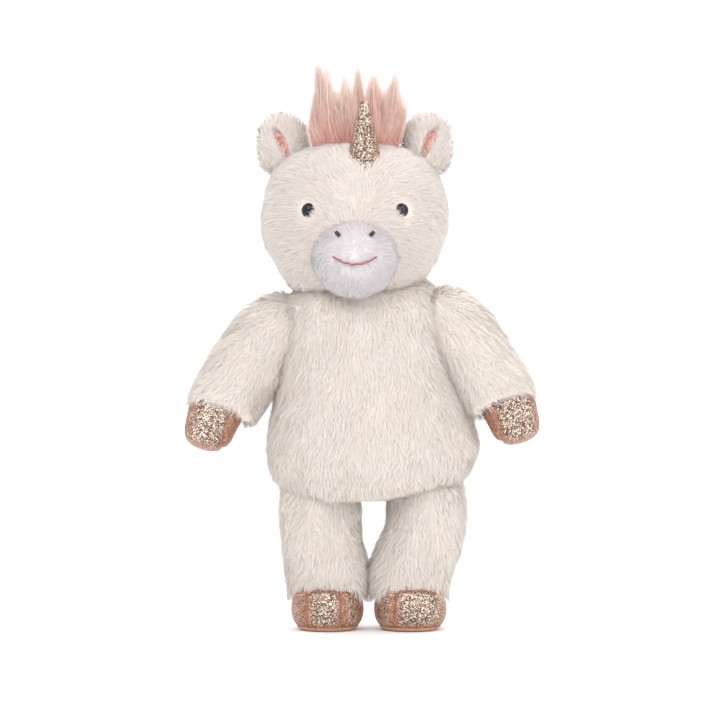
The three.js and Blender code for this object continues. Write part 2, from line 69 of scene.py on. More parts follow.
NECK = joint_at("head_nod")
SHOULDER = {side: joint_at(f"{side}_arm_lift") for side in ("left", "right")}
HIP = {side: joint_at(f"{side}_leg_swing") for side in ("left", "right")}
EAR = {side: joint_at(f"{side}_ear_fold") for side in ("left", "right")}
TAIL = joint_at("tail_swing")
OUT = {"left": -1.0, "right": 1.0}
SIDES = ("left", "right")

BODY_FUR = 7.0 * MM
BODY_SINK = -0.55 * BODY_FUR  # the backing lies this far inside the outline of the pile
FACE_FUR = 4.6 * MM

HEAD_LOW, HEAD_HIGH = box("head_skin")
HEAD_HALF = (HEAD_HIGH[0] - HEAD_LOW[0]) / 2
HEAD_HEIGHT = 1.7 * HEAD_HALF
HEAD_FOOT = (HEAD_LOW + HEAD_HIGH) / 2
HEAD_FOOT[2] = HEAD_HIGH[2] - HEAD_HEIGHT

TORSO_LOW = box("torso_skin")[0]
TORSO_HALF = 65 * MM
TORSO_HEIGHT = 139 * MM
HIP_MIDDLE = (HIP["left"] + HIP["right"]) / 2
SEAT_ASIDE = 2.5 * MM  # how far the seat stands towards +X of the middle of the hips
SEAT_SAG = 2.5 * MM  # how far it hangs below the torso's skin in the frame
LEAN = math.atan2(HIP_MIDDLE[0] + SEAT_ASIDE - NECK[0], NECK[2] - HIP_MIDDLE[2])

# ---------- curves and surfaces ----------


def smooth_curve(points, count):
    """Evenly stepped points on a Catmull-Rom curve through `points`, of any dimension."""
    points = np.asarray(points, float)
    ends = np.vstack([2 * points[0] - points[1], points, 2 * points[-1] - points[-2]])
    place = np.linspace(0, len(points) - 1, count)
    step = np.minimum(place.astype(int), len(points) - 2)
    t = (place - step)[:, None]
    a, b, c, d = (ends[step + k] for k in range(4))
    return 0.5 * (2 * b + (c - a) * t + (2 * a - 5 * b + 4 * c - d) * t**2 + (3 * b - a - 3 * c + d) * t**3)


def unit(vectors):
    return vectors / np.maximum(np.linalg.norm(vectors, axis=-1, keepdims=True), 1e-12)


class Surface:
    """A closed form made of rings between two poles: points, triangles and smooth normals."""

    def __init__(self, rings):
        count, around = rings.shape[:2]
        self.points = np.vstack([rings[0].mean(0), rings.reshape(-1, 3), rings[-1].mean(0)])
        here = np.arange(around)
        onward = (here + 1) % around
        quads = []
        for ring in range(count - 1):
            a = 1 + ring * around
            quads.append(np.stack([a + here, a + onward, a + around + onward, a + around + here], 1))
        self.quads = np.vstack(quads)
        last = len(self.points) - 1
        start = 1 + (count - 1) * around
        first_fan = np.stack([np.zeros_like(here), 1 + onward, 1 + here], 1)
        last_fan = np.stack([np.full_like(here, last), start + here, start + onward], 1)
        self.fans = np.vstack([first_fan, last_fan])
        self.settle()

    def settle(self):
        """Works the triangles and normals out again after the points have moved."""
        q = self.quads
        self.triangles = np.vstack([q[:, [0, 1, 2]], q[:, [0, 2, 3]], self.fans])
        a, b, c = (self.points[self.triangles[:, k]] for k in range(3))
        faces = np.cross(b - a, c - a)
        if (faces * (a - self.points.mean(0))).sum() < 0:
            self.quads = self.quads[:, ::-1]
            self.fans = self.fans[:, ::-1]
            self.settle()
            return
        self.areas = np.linalg.norm(faces, axis=1) / 2
        normals = np.zeros_like(self.points)
        for k in range(3):
            np.add.at(normals, self.triangles[:, k], faces)
        self.normals = unit(normals)

    def swell(self, distance):
        """Moves every point along its normal, by one distance or one for each point."""
        self.points = self.points + self.normals * np.reshape(distance, (-1, 1))
        self.settle()
        return self


def full_turn(steps):
    """Angles at even steps round a circle."""
    return np.linspace(0, 2 * math.pi, steps, endpoint=False)


def circle(angle, across, other):
    """Points of a circle round the origin, between two directions."""
    return np.cos(angle)[:, None] * across + np.sin(angle)[:, None] * other


def turned(outline, foot, half, height, depth, rings=64, around=96, lean=0.0):
    """A form of revolution through an outline of (radius, height) fractions, leaning towards -X."""
    curve = smooth_curve(outline, rings)[1:-1]
    angle = full_turn(around)
    radius = curve[:, 0][:, None] * half
    x = radius * np.cos(angle)
    y = radius * np.sin(angle) * depth
    z = np.repeat(curve[:, 1][:, None] * height, around, 1)
    turned_x = x * math.cos(lean) - z * math.sin(lean)
    turned_z = z * math.cos(lean) + x * math.sin(lean)
    return Surface(np.stack([turned_x, y, turned_z], 2) + foot)


LINE_STEPS = 200


def tube(spine, wide, deep, caps, rings=64, around=64, square=2.0):
    """A soft tube along a spine with rounded ends.

    `wide` is across the view and `deep` along it, both at even steps; a larger `square` blunts the ends."""
    line = smooth_curve(spine, LINE_STEPS)
    travelled = np.concatenate([[0], np.cumsum(np.linalg.norm(np.diff(line, axis=0), axis=1))])
    length = travelled[-1]
    along = (1 - np.cos(np.pi * np.arange(1, rings) / rings)) / 2
    centre = np.stack([np.interp(along * length, travelled, line[:, k]) for k in range(3)], 1)
    way = unit(np.gradient(centre, axis=0))
    across = unit(np.cross([0.0, 1.0, 0.0], way))
    inward = np.cross(way, across)

    def rounding(distance, cap):
        share = np.minimum(distance / cap, 1)
        return (1 - (1 - share) ** square) ** (1 / square)

    round_off = rounding(along * length, caps[0]) * rounding((1 - along) * length, caps[1])
    half_wide = np.interp(along, np.linspace(0, 1, len(wide)), wide) * round_off
    half_deep = np.interp(along, np.linspace(0, 1, len(deep)), deep) * round_off
    angle = full_turn(around)[None, :, None]
    a = half_wide[:, None, None] * np.cos(angle) * across[:, None]
    b = half_deep[:, None, None] * np.sin(angle) * inward[:, None]
    return Surface(centre[:, None] + a + b)


RIPPLE_WAVES = 7
RIPPLE_PHASE = 6.3  # a wave can start anywhere in one turn


def ripple(points, scale, seed):
    """Smooth noise between about -1 and 1, from a few waves in random directions."""
    rng = np.random.default_rng(seed)
    total = np.zeros(len(points))
    for _ in range(RIPPLE_WAVES):
        way = unit(rng.normal(size=3))
        pitch = 2 * math.pi / scale * rng.uniform(0.6, 1.5)
        total += np.sin(points @ way * pitch + rng.uniform(0, RIPPLE_PHASE))
    return total / (RIPPLE_WAVES / 2)


# ---------- meshes ----------


def mesh_object(name, points, faces, material, smooth=True):
    """A mesh from points and face lists, each an array of faces with one number of corners."""
    mesh = bpy.data.meshes.new(name)
    mesh.vertices.add(len(points))
    mesh.vertices.foreach_set("co", np.asarray(points, np.float32).ravel())
    sizes = np.concatenate([np.full(len(group), group.shape[1]) for group in faces])
    corners = np.concatenate([group.ravel() for group in faces])
    mesh.loops.add(len(corners))
    mesh.loops.foreach_set("vertex_index", corners.astype(np.int32))
    mesh.polygons.add(len(sizes))
    starts = np.concatenate([[0], np.cumsum(sizes)[:-1]])
    mesh.polygons.foreach_set("loop_start", starts.astype(np.int32))
    mesh.update(calc_edges=True)
    mesh.polygons.foreach_set("use_smooth", np.full(len(sizes), smooth))
    mesh.materials.append(material)
    obj = bpy.data.objects.new(name, mesh)
    bpy.context.scene.collection.objects.link(obj)
    return obj


def surface_object(name, surface, material):
    return mesh_object(name, surface.points, [surface.quads, surface.fans], material)


def paint(obj, name, values):
    """Gives each point of a mesh a number that its material can read."""
    layer = obj.data.attributes.new(name, "FLOAT", "POINT")
    layer.data.foreach_set("value", values.astype(np.float32))


def place(obj, body, slot, *nodes):
    """Rides a piece on its body and hides the CAD nodes it stands for; `slot`, the name of its finish, is not
    used.
    """
    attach(obj, body)
    if nodes:
        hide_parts(*nodes)
    return obj


# ---------- fur ----------

STRAND_SIDES = 3
STRAND_THICK = 0.16 * MM
STRAND_TAPER = 0.45  # how much thinner a strand grows towards its tip
ROOT_DEPTH = 0.4 * MM  # how deep a strand is rooted in the backing
SWIRL = 0.35  # how far a soft lock turns its pile sideways
# How unlike its neighbours a strand is: in the way it lies, in the way it stands and in how it is shaded.
LIE_SCATTER = 0.22
STAND_SCATTER = 0.16
SHADE_SCATTER = 0.2


def sample(surface, per_mm2, keep, rng):
    """Random places on a surface: points and normals, with only those that `keep` lets through."""
    total = surface.areas.sum()
    count = int(total / MM**2 * per_mm2)
    pick = np.searchsorted(np.cumsum(surface.areas), rng.uniform(0, total, count))
    corners = surface.triangles[np.minimum(pick, len(surface.triangles) - 1)]
    u, v = rng.uniform(size=(2, count))
    flip = u + v > 1
    u[flip], v[flip] = 1 - u[flip], 1 - v[flip]
    weights = np.stack([1 - u - v, u, v], 1)[:, :, None]
    points = (surface.points[corners] * weights).sum(1)
    normals = unit((surface.normals[corners] * weights).sum(1))
    wanted = keep(points, normals)
    return points[wanted], normals[wanted]


def spikes(name, paths, ways, thick, taper, material, rng):
    """Thin closed spikes along paths given as levels x spikes x 3, each ending in a point.

    `ways` is the direction of each spike. The material reads how far up a point is as "shade"."""
    levels, count = paths.shape[:2]
    side = unit(np.cross(ways, unit(rng.normal(size=(count, 3)))))
    other = np.cross(ways, side)
    points = []
    for level in range(levels - 1):
        half = thick * (1 - taper * level / (levels - 1))
        for k in range(STRAND_SIDES):
            angle = 2 * math.pi * k / STRAND_SIDES
            points.append(paths[level] + half * (side * math.cos(angle) + other * math.sin(angle)))
    points.append(paths[-1])
    tip = len(points) - 1
    faces = [[2, 1, 0]]
    for low in range(0, tip - STRAND_SIDES, STRAND_SIDES):
        for k in range(STRAND_SIDES):
            a = low + k
            b = low + (k + 1) % STRAND_SIDES
            faces += [[a, b, b + STRAND_SIDES], [a, b + STRAND_SIDES, a + STRAND_SIDES]]
    top = tip - STRAND_SIDES
    faces += [[top + k, top + (k + 1) % STRAND_SIDES, tip] for k in range(STRAND_SIDES)]
    offsets = (np.arange(count) * len(points))[:, None, None]
    triangles = (np.array(faces)[None] + offsets).reshape(-1, 3)
    obj = mesh_object(name, np.stack(points, 1).reshape(-1, 3), [triangles], material)
    shade = np.arange(len(points)) // STRAND_SIDES / (levels - 1)
    paint(obj, "shade", np.tile(shade, count))
    return obj


def strands(name, roots, ways, lengths, bends, thick, material, rng, facing):
    """Pile: each strand grows from its root along its way and bends over by its bend vector.

    Each is shaded as facing the way that its cloth does, so the pile looks soft and even."""
    paths = [roots + ways * (lengths * level)[:, None] + bends * level**2 for level in (0, 0.5, 1)]
    obj = spikes(name, np.array(paths), ways, thick, STRAND_TAPER, material, rng)
    corners = len(obj.data.vertices) // len(roots)
    obj.data.normals_split_custom_set_from_vertices(np.repeat(facing, corners, 0))
    return obj


def everywhere(points, normals):
    return np.ones(len(points), bool)


def down(points, normals):
    return np.tile([0.0, 0.0, -1.0], (len(points), 1))


def front(points, normals):
    return normals[:, 1] < 0


def fur(name, surface, material, *, seed, per_mm2, length, thick=STRAND_THICK, comb=down, lie=0.7,
        keep=everywhere, wave=18 * MM):
    """Pile on a surface: strands that stand up and lie over along `comb`, in soft locks.

    `lie` is how flat the pile lies, from 0 to 1, and `wave` is about how wide a lock is."""
    rng = np.random.default_rng(seed)
    points, normals = sample(surface, per_mm2, keep, rng)
    nap = comb(points, normals)
    nap = unit(nap - normals * (nap * normals).sum(1, keepdims=True))
    sideways = np.cross(normals, nap)
    swirl = ripple(points, wave, seed + 1)[:, None] * SWIRL
    nap = unit(nap + sideways * (swirl + rng.normal(0, LIE_SCATTER, (len(points), 1))))
    rise = 1 + 0.1 * ripple(points, wave * 0.7, seed + 2)
    reach = length(points) if callable(length) else length
    lengths = reach * rise * rng.uniform(0.8, 1.15, len(points))
    ways = unit(normals + nap * (0.35 * lie) + rng.normal(0, STAND_SCATTER, (len(points), 3)))
    bends = (nap * lie - normals * 0.35 * lie) * (lengths * 0.8)[:, None]
    facing = unit(normals + rng.normal(0, SHADE_SCATTER, (len(points), 3)))
    roots = points - normals * ROOT_DEPTH
    return strands(name, roots, ways, lengths * (1 - 0.3 * lie), bends, thick, material, rng, facing)


def body_fur(name, surface, body, *, seed, keep, comb=down, thick=STRAND_THICK):
    """The long pile of the torso, the arms and the legs."""
    pile = fur(name, surface, BODY_PILE, seed=seed, per_mm2=1.7, length=1.15 * BODY_FUR, thick=thick,
               comb=comb, keep=keep)
    place(pile, body, "body_fur")


# ---------- finishes ----------


def srgb(red, green, blue):
    """A colour given as 0-255 screen values, as the linear values a shader takes."""
    parts = [c / 255 for c in (red, green, blue)]
    return tuple(c / 12.92 if c <= 0.04045 else ((c + 0.055) / 1.055) ** 2.4 for c in parts) + (1.0,)


CREAM = srgb(254, 246, 238)
# Painted shade at the roots of the body pile, darker where the strands shade each other.
CREAM_ROOT_SHADE = srgb(251, 235, 222)
CREAM_DEEP = srgb(250, 240, 230)
FACE_PALE = srgb(238, 230, 224)
# Painted shade at the roots of the face pile.
FACE_ROOT_SHADE = srgb(234, 220, 210)
FACE_DEEP = srgb(242, 226, 214)
MUZZLE_LILAC = srgb(223, 217, 219)
# Painted shade at the roots of the muzzle pile.
MUZZLE_ROOT_SHADE = srgb(218, 210, 212)
MUZZLE_DEEP = srgb(210, 202, 204)
CORAL = srgb(214, 96, 78)
CORAL_DEEP = srgb(190, 92, 78)
CORAL_PALE = srgb(232, 178, 163)
MANE_TIP = srgb(244, 224, 214)
LINING_PINK = srgb(212, 160, 150)
LINING_DEEP = srgb(160, 104, 94)
GLITTER_GOLD = srgb(176, 124, 98)
GLITTER_COPPER = srgb(138, 84, 62)
GLITTER_DARK = srgb(92, 66, 54)
GLITTER_SILVER = srgb(178, 152, 134)
# A painted glint: the near-white of flakes that catch the lamps.
PAINTED_GLINT = srgb(250, 240, 224)
SOLE_TAN = srgb(204, 164, 138)
SOLE_DEEP = srgb(172, 128, 104)
FIBRE_WHITE = srgb(244, 243, 240)
FIBRE_GREY = srgb(224, 222, 218)
EYE_BLACK = srgb(26, 26, 36)
EYE_DEEP = srgb(16, 16, 24)
WASHER_WHITE = srgb(236, 236, 232)
WASHER_GREY = srgb(222, 222, 218)
THREAD_DARK = srgb(62, 52, 58)
THREAD_DARK_DEEP = srgb(36, 30, 36)
THREAD_ROSE = srgb(172, 100, 94)
THREAD_ROSE_DEEP = srgb(140, 74, 72)
THREAD_CREAM = srgb(226, 212, 198)
THREAD_CREAM_DEEP = srgb(200, 184, 168)
FLOOR_WHITE = srgb(250, 250, 250)


class Finish:
    """A Principled material and short ways to add nodes to it."""

    def __init__(self, name, roughness=0.9):
        self.material = bpy.data.materials.new(name)
        self.material.use_nodes = True
        self.nodes = self.material.node_tree.nodes
        self.links = self.material.node_tree.links
        self.shader = self.nodes["Principled BSDF"]
        self.set("Roughness", roughness)

    def set(self, socket, value):
        self.shader.inputs[socket].default_value = value

    def node(self, kind, inputs=None, **settings):
        node = self.nodes.new(kind)
        for key, value in settings.items():
            setattr(node, key, value)
        for key, value in (inputs or {}).items():
            if hasattr(value, "is_linked"):
                self.links.new(value, node.inputs[key])
            else:
                node.inputs[key].default_value = value
        return node

    def noise(self, scale, detail=2.0):
        where = self.node("ShaderNodeTexCoord").outputs["Object"]
        inputs = {"Vector": where, "Scale": scale, "Detail": detail}
        return self.node("ShaderNodeTexNoise", inputs).outputs["Fac"]

    def ramp(self, value, *stops):
        node = self.node("ShaderNodeValToRGB", {"Fac": value})
        elements = node.color_ramp.elements
        while len(elements) < len(stops):
            elements.new(0.5)
        for element, (position, colour) in zip(elements, stops):
            element.position = position
            element.color = colour
        return node.outputs["Color"]

    def mix(self, amount, a, b):
        node = self.nodes.new("ShaderNodeMix")
        node.data_type = "RGBA"
        for socket, value in ((node.inputs[0], amount), (node.inputs[6], a), (node.inputs[7], b)):
            if hasattr(value, "is_linked"):
                self.links.new(value, socket)
            else:
                socket.default_value = value
        return node.outputs[2]

    def link(self, output, socket):
        self.links.new(output, self.shader.inputs[socket])

    def bump(self, height, strength, distance):
        normal = self.node("ShaderNodeBump", {"Height": height, "Strength": strength, "Distance": distance})
        self.link(normal.outputs["Normal"], "Normal")

    def sheen(self, weight, tint, roughness=0.5):
        self.set("Sheen Weight", weight)
        self.set("Sheen Tint", tint)
        self.set("Sheen Roughness", roughness)


def pile_finish(name, root, tip, middle=None):
    """Pile strands: deeper at the root, pale at the tip, with soft drifts of colour over the cloth. On the
    cream, face and muzzle pile the deeper root is painted shade, where the strands shade each other; on the
    mane it is the coral dye.
    """
    finish = Finish(name, 0.85)
    along = finish.node("ShaderNodeAttribute", attribute_name="shade").outputs["Fac"]
    stops = [(0.0, root), (0.3, middle), (0.9, tip)] if middle else [(0.0, root), (0.6, tip)]
    shade = finish.ramp(along, *stops)
    drift = finish.ramp(finish.noise(38.0), (0.42, (0, 0, 0, 1)), (0.62, (0.35, 0.35, 0.35, 1)))
    colour = finish.mix(drift, shade, middle or root)
    finish.link(colour, "Base Color")
    finish.sheen(0.25, tip)
    return finish.material


def backing_finish(name, colour, deep):
    """The knitted backing that the pile is rooted in, mottled and slightly felted."""
    finish = Finish(name, 0.95)
    patches = finish.ramp(finish.noise(520.0, 4.0), (0.35, deep), (0.65, colour))
    finish.link(patches, "Base Color")
    finish.bump(finish.noise(1400.0, 3.0), 0.5, 0.4 * MM)
    finish.sheen(0.5, colour)
    return finish.material


def glitter_finish(name, grain=1500.0):
    """Glitter cloth: flakes at their own angles. A painted highlight, a number on the mesh, makes them bright
    where it is 1; where it is 0 they are copper, the cloth as it looks in painted shade.
    """
    finish = Finish(name, 0.4)
    where = finish.node("ShaderNodeTexCoord").outputs["Object"]
    cells = finish.node("ShaderNodeTexVoronoi", {"Vector": where, "Scale": grain}).outputs["Color"]
    level = finish.node("ShaderNodeRGBToBW", {"Color": cells}).outputs["Val"]
    flakes = ((0.25, GLITTER_DARK), (0.48, GLITTER_SILVER), (0.64, PAINTED_GLINT), (0.76, GLITTER_DARK))
    # The lit flakes, some with the painted glint.
    bright = finish.ramp(level, *flakes)
    # The copper flakes: the cloth's own rose copper, drawn darker as painted shade.
    copper = finish.ramp(level, (0.3, GLITTER_COPPER), (0.6, GLITTER_GOLD), (0.85, GLITTER_SILVER))
    # How much painted highlight the mesh gives each place.
    painted_highlight = finish.node("ShaderNodeAttribute", attribute_name="painted_highlight").outputs["Fac"]
    finish.link(finish.mix(painted_highlight, copper, bright), "Base Color")
    finish.set("Metallic", 0.35)
    finish.bump(level, 0.8, 0.5 * MM)
    return finish.material


def plain_finish(name, colour, deep, roughness, scale, specular=0.5):
    """Moulded plastic with a faint mottle."""
    finish = Finish(name, roughness)
    finish.set("Specular IOR Level", specular)
    finish.link(finish.ramp(finish.noise(scale), (0.35, deep), (0.65, colour)), "Base Color")
    return finish.material


def thread_finish(name, colour, deep):
    """Twisted embroidery thread."""
    finish = Finish(name, 0.6)
    where = finish.node("ShaderNodeTexCoord").outputs["Object"]
    inputs = {"Vector": where, "Scale": 900.0, "Distortion": 1.0}
    twist = finish.node("ShaderNodeTexWave", inputs).outputs["Fac"]
    finish.link(finish.ramp(twist, (0.2, deep), (0.8, colour)), "Base Color")
    finish.bump(twist, 0.4, 0.2 * MM)
    return finish.material


# The body, face and muzzle pile carry painted shade at their roots; the mane's coral root is its dye.
BODY_PILE = pile_finish("body_pile", CREAM_ROOT_SHADE, CREAM)
FACE_PILE = pile_finish("face_pile", FACE_ROOT_SHADE, FACE_PALE)
MUZZLE_PILE = pile_finish("muzzle_pile", MUZZLE_ROOT_SHADE, MUZZLE_LILAC)
MANE_PILE = pile_finish("mane_pile_fibres", CORAL, MANE_TIP, CORAL_PALE)
BODY_BACKING = backing_finish("body_backing", CREAM, CREAM_DEEP)
FACE_BACKING = backing_finish("face_backing", FACE_PALE, FACE_DEEP)
MUZZLE_BACKING = backing_finish("muzzle_backing", MUZZLE_LILAC, MUZZLE_DEEP)
MANE_BACKING = backing_finish("mane_root_backing", CORAL, CORAL_DEEP)
LINING = backing_finish("ear_lining_cloth", LINING_PINK, LINING_DEEP)
GLITTER = glitter_finish("glitter_cloth")
SOLE = backing_finish("sole_felt", SOLE_TAN, SOLE_DEEP)
FIBRE = backing_finish("polyester_fibre", FIBRE_WHITE, FIBRE_GREY)
EYE_PLASTIC = plain_finish("eye_black", EYE_BLACK, EYE_DEEP, 0.09, 60.0, specular=0.3)
WASHER_PLASTIC = plain_finish("washer_white", WASHER_WHITE, WASHER_GREY, 0.4, 90.0)
DARK_THREAD = thread_finish("dark_stitching", THREAD_DARK, THREAD_DARK_DEEP)
ROSE_THREAD = thread_finish("rose_stitching", THREAD_ROSE, THREAD_ROSE_DEEP)
CREAM_THREAD = thread_finish("cream_stitching", THREAD_CREAM, THREAD_CREAM_DEEP)


# ---------- torso ----------

TORSO_OUTLINE = [(0, 0), (0.5, 0.01), (0.81, 0.045), (0.95, 0.125), (1, 0.225), (0.96, 0.36), (0.87, 0.52)]
TORSO_OUTLINE += [(0.8, 0.72), (0.8, 0.84), (0.68, 0.93), (0.4, 0.98), (0, 1)]
TORSO_FOOT = np.array([HIP_MIDDLE[0] + SEAT_ASIDE, 0.0, TORSO_LOW[2] - SEAT_SAG])
TORSO_DEPTH = 0.68


def make_torso():
    skin = turned(TORSO_OUTLINE, TORSO_FOOT, TORSO_HALF, TORSO_HEIGHT, TORSO_DEPTH, lean=LEAN)
    skin.swell(BODY_SINK + 1.2 * MM * ripple(skin.points, 45 * MM, 11))
    backing = surface_object("torso_backing", skin, BODY_BACKING)
    place(backing, "torso", "body_fur", "torso_skin")
    middle = TORSO_FOOT[2] + 0.42 * TORSO_HEIGHT
    regions = {
        "torso_fur_front_low": lambda p, n: front(p, n) & (p[:, 2] < middle),
        "torso_fur_front_high": lambda p, n: front(p, n) & (p[:, 2] >= middle),
        "torso_fur_back_low": lambda p, n: ~front(p, n) & (p[:, 2] < middle),
        "torso_fur_back_high": lambda p, n: ~front(p, n) & (p[:, 2] >= middle),
    }
    for number, (name, keep) in enumerate(regions.items()):
        body_fur(name, skin, "torso", seed=20 + number, keep=keep)


# ---------- arms ----------

ARM_SPINE = [(-14, 2, 4), (8, -1, -4), (25, -6, -27), (37, -11, -48), (42.5, -18, -74)]
ARM_WIDE = [22, 24, 24, 23.5, 19]
ARM_DEEP = [20, 22, 21, 20, 19]
ARM_STRAND = 0.17 * MM
WRIST = (38.5, -12, -50.5)  # millimetres from the shoulder, on the side towards +X
WRIST_WAY = (0.3, -0.25, -0.92)
WRIST_PRESS = 0.93  # how flat the sleeve's end is pressed against the seam
SEAM_RING = 15.5 * MM


def mirrored(points, side):
    return [(OUT[side] * x, y, z) for x, y, z in points]


def arm_spine(side):
    return SHOULDER[side] + np.array(mirrored(ARM_SPINE, side)) * MM


def wrist(side):
    """The point and the direction of the seam between the sleeve and the hoof."""
    point, way = np.array(mirrored([WRIST, WRIST_WAY], side))
    return SHOULDER[side] + point * MM, unit(way)


def make_shoulder_seam(side):
    """The sewn ring between the arm and the torso, deep under the pile."""
    turn = np.linspace(0, 2 * math.pi, 160)
    aside = np.full(len(turn), -4 * OUT[side] * MM)
    ring = np.stack([aside, SEAM_RING * np.sin(turn), SEAM_RING * np.cos(turn)], 1)
    thread_run(f"{side}_shoulder_stitching", SHOULDER[side] + ring, 0.7 * MM, CREAM_THREAD,
               f"{side}_shoulder", "cream_thread", f"{side}_shoulder_seam")


def make_arm(side):
    """The sleeve of an arm, pressed flat at the wrist where the hoof is sewn on."""
    body = f"{side}_arm"
    spine = arm_spine(side)
    skin = tube(spine, np.array(ARM_WIDE) * MM, np.array(ARM_DEEP) * MM, (14 * MM, 14 * MM))
    point, way = wrist(side)
    skin.swell(BODY_SINK + 0.7 * MM * ripple(skin.points, 30 * MM, 31))
    past = np.maximum((skin.points - point) @ way + 1 * MM, 0)
    skin.points = skin.points - past[:, None] * way * WRIST_PRESS
    skin.settle()
    backing = surface_object(f"{side}_arm_backing", skin, BODY_BACKING)
    place(backing, body, "body_fur", f"{side}_arm_sleeve")

    def comb(p, n):
        return np.tile(unit(spine[-1] - spine[0]), (len(p), 1))

    for part, seed in (("front", 41), ("back", 42)):
        def keep(p, n, part=part):
            return ((p - point) @ way < -0.5 * MM) & (front(p, n) == (part == "front"))

        body_fur(f"{side}_arm_fur_{part}", skin, body, seed=seed + (side == "left") * 5, keep=keep, comb=comb,
                 thick=ARM_STRAND)


# ---------- legs ----------

LEG_WIDE = [24, 25.4, 26, 26.5, 24.5]
LEG_DEEP = [22, 24, 25, 25, 24]
CUFF = 21 * MM  # height of the lowest roots of the leg's pile


def make_leg(side):
    body = f"{side}_leg"
    hip = HIP[side]
    foot = sum(box(f"{side}_foot_front")) / 2
    route = [(hip[0], hip[2] + 6 * MM), (hip[0], 60 * MM), (foot[0], 34 * MM), (foot[0], 10 * MM)]
    spine = [(x, 0, z) for x, z in route]
    skin = tube(spine, np.array(LEG_WIDE) * MM, np.array(LEG_DEEP) * MM, (16 * MM, 9 * MM))
    skin.swell(BODY_SINK + 0.8 * MM * ripple(skin.points, 30 * MM, 51))
    backing = surface_object(f"{side}_leg_backing", skin, BODY_BACKING)
    place(backing, body, "body_fur", f"{side}_leg_sleeve")
    for part, seed in (("front", 61), ("back", 62)):
        def keep(p, n, part=part):
            return (p[:, 2] > CUFF) & (front(p, n) == (part == "front"))

        body_fur(f"{side}_leg_fur_{part}", skin, body, seed=seed + (side == "left") * 5, keep=keep)


# ---------- head ----------

HEAD_OUTLINE = [(0, 0), (0.38, 0.012), (0.63, 0.067), (0.79, 0.174), (0.916, 0.297), (0.986, 0.43)]
HEAD_OUTLINE += [(1, 0.544), (0.969, 0.677), (0.88, 0.81), (0.714, 0.913), (0.436, 0.98), (0, 1)]
HEAD_DEPTH = 0.83
MUZZLE_LOW, MUZZLE_HIGH = box("muzzle_patch")
MUZZLE_HALF = np.array([24.8, 18.5, 23.5]) * MM
MUZZLE = np.array([(MUZZLE_LOW[0] + MUZZLE_HIGH[0]) / 2, MUZZLE_LOW[1] + MUZZLE_HALF[1], 223.5 * MM])
EYES = {side: sum(box(f"{side}_eye")) / 2 for side in SIDES}
EYE_CLEAR = 3.9 * MM  # no pile grows this close to the middle of an eye
EYE_CLEAR_BELOW = 2.6 * MM
LID_REACH = 7 * MM


def in_muzzle(points, grow):
    return (((points - MUZZLE) / (MUZZLE_HALF + grow)) ** 2).sum(1) < 1


def eye_gap(points):
    return np.minimum(*(np.linalg.norm(points - EYES[side], axis=1) for side in SIDES))


def lid(points, side):
    """True just below an eye and towards the nose, where the pile stands up over the eye's edge."""
    gap = (points - EYES[side]) * np.array([1, 0, 1])
    inwards = np.array([-OUT[side] * 0.6, 0, -0.8])
    return (unit(gap) @ inwards > 0.5) & (np.linalg.norm(points - EYES[side], axis=1) < LID_REACH)


def face_comb(points, normals):
    """Fur on the face lies away from the middle of the muzzle, and downwards at the sides."""
    away = points - MUZZLE
    away[:, 1] = 0
    comb = unit(unit(away) + np.array([0, 0, -0.6]))
    for side in SIDES:
        near = lid(points, side)
        comb[near] = unit(EYES[side] - points[near])
    return comb


def make_head():
    skin = turned(HEAD_OUTLINE, HEAD_FOOT, HEAD_HALF, HEAD_HEIGHT, HEAD_DEPTH)
    skin.swell(-0.7 * FACE_FUR + 0.6 * MM * ripple(skin.points, 35 * MM, 71))
    backing = surface_object("head_backing", skin, FACE_BACKING)
    place(backing, "head", "body_fur", "head_skin")

    def clear(p, n):
        """Round the eyes the pile stops, but below them it stands close and covers their lower edge."""
        below = p[:, 2] < EYES["left"][2] - 1.5 * MM
        return (eye_gap(p) > np.where(below, EYE_CLEAR_BELOW, EYE_CLEAR)) & ~in_muzzle(p, -2.5 * MM)

    def length(points):
        """Shorter close to the eyes, apart from the lids."""
        near = np.clip((eye_gap(points) - 2 * MM) / (8 * MM), 0.35, 1)
        lids = lid(points, "left") | lid(points, "right")
        return 1.3 * FACE_FUR * np.where(lids, 0.8, near)

    regions = {
        "face_fur_left": lambda p, n: clear(p, n) & front(p, n) & (p[:, 0] < HEAD_FOOT[0]),
        "face_fur_right": lambda p, n: clear(p, n) & front(p, n) & (p[:, 0] >= HEAD_FOOT[0]),
        "nape_fur_left": lambda p, n: ~front(p, n) & (p[:, 0] < HEAD_FOOT[0]),
        "nape_fur_right": lambda p, n: ~front(p, n) & (p[:, 0] >= HEAD_FOOT[0]),
    }
    for number, (name, keep) in enumerate(regions.items()):
        pile = fur(name, skin, FACE_PILE, seed=80 + number, per_mm2=2.1, length=length, comb=face_comb,
                   lie=0.75, keep=keep, wave=14 * MM)
        place(pile, "head", "body_fur")


def ball_surface(centre, half, rings=48, around=64):
    """An ellipsoid whose poles are at its top and foot."""
    turn = np.pi * np.arange(1, rings) / rings
    angle = full_turn(around)
    x = half[0] * np.sin(turn)[:, None] * np.cos(angle)
    y = half[1] * np.sin(turn)[:, None] * np.sin(angle)
    z = np.repeat(half[2] * np.cos(turn)[:, None], around, 1)
    return Surface(np.stack([x, y, z], 2) + centre)


